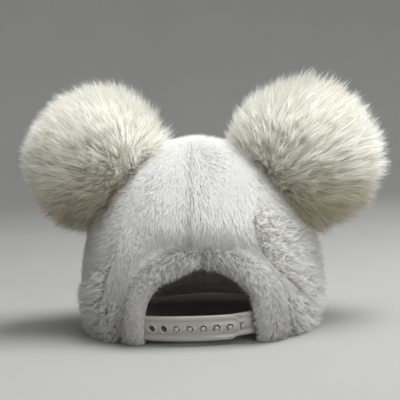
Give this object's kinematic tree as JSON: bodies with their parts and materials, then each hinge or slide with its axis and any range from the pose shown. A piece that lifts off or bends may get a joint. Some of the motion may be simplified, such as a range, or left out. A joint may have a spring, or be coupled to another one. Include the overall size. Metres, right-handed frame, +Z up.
{
  "type": "snapback cap with ears",
  "caption": "Child's plush snapback cap with two big fur pompoms as ears, a plush brim and an arched open back closed by a plastic snap strap.",
  "frame": {"origin": "centre of the rim's opening, on the surface that the cap stands on", "axes": "+Z up, brim towards -Y, open back towards +Y, +X towards the wearer's left"},
  "size_m": [0.28, 0.2684, 0.1908],
  "materials": {
    "white_plush": "long soft pile",
    "cream_pompom": "long curly fur",
    "milky_plastic": "satin"
  },
  "bodies": {
    "root": {"back_hem": "white_plush", "brim": "white_plush", "crown_back_left": "white_plush", "crown_back_right": "white_plush", "crown_front_left": "white_plush", "crown_front_right": "white_plush", "crown_side_left": "white_plush", "crown_side_right": "white_plush", "pompom_left": "cream_pompom", "pompom_right": "cream_pompom", "strap_left": "milky_plastic", "strap_right": "milky_plastic"}
  },
  "joints": []
}
